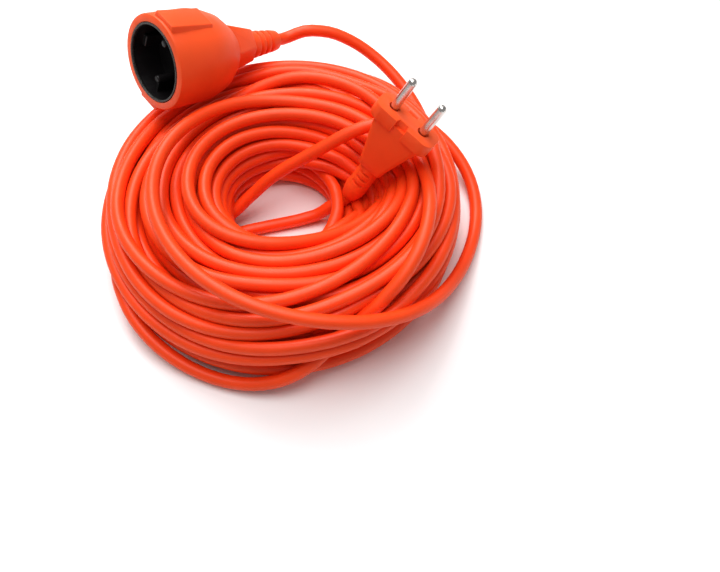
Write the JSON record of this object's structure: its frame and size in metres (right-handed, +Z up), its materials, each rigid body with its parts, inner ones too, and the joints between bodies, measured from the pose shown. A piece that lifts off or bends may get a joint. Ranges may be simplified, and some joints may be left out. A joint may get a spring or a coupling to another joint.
{
  "type": "extension cord",
  "caption": "Coiled orange mains extension cord with a flat two-pin plug standing in the coil and a round shuttered socket resting on its rim.",
  "frame": {"origin": "centre of the bounding box in plan, on the surface that the coil lies on", "axes": "+Z up along the coil's axis, +X from the socket's side of the coil to the loose loop's side, the socket's face looks to -Y"},
  "size_m": [0.2146, 0.2159, 0.0952],
  "materials": {
    "orange_pvc": "satin soft PVC",
    "black_moulding": "satin moulded",
    "red_moulding": "satin moulded",
    "grey_moulding": "matte moulded",
    "brass": "stamped",
    "nickel": "nickel plated, drawn",
    "spring_steel": "drawn wire",
    "blue_insulation": "extruded",
    "brown_insulation": "extruded"
  },
  "bodies": {
    "cord_set": {"contact_carrier": "grey_moulding", "cord_coil": "orange_pvc", "crossing_run": "orange_pvc", "lead_to_plug": "orange_pvc", "lead_to_socket": "orange_pvc", "loose_loop": "orange_pvc", "pin_bridge": "grey_moulding", "plug_body": "orange_pvc", "plug_core_blue": "blue_insulation", "plug_core_brown": "brown_insulation", "plug_pin_left": "nickel", "plug_pin_right": "nickel", "plug_strain_relief": "orange_pvc", "shutter_spring": "spring_steel", "socket_contact_left": "brass", "socket_contact_right": "brass", "socket_core_blue": "blue_insulation", "socket_core_brown": "brown_insulation", "socket_housing": "orange_pvc", "socket_insert": "black_moulding", "socket_strain_relief": "orange_pvc"},
    "shutter_plate": {"shutter": "red_moulding"}
  },
  "joints": [
    {"name": "shutter_slide", "type": "slide", "parent": "cord_set", "child": "shutter_plate", "axis": [0.0872, 0.4004, 0.9122], "range_m": [0, 0.0056], "stiffness_N_per_m": 60, "springref_m": -0.003, "deforming": ["shutter_spring"]}
  ]
}
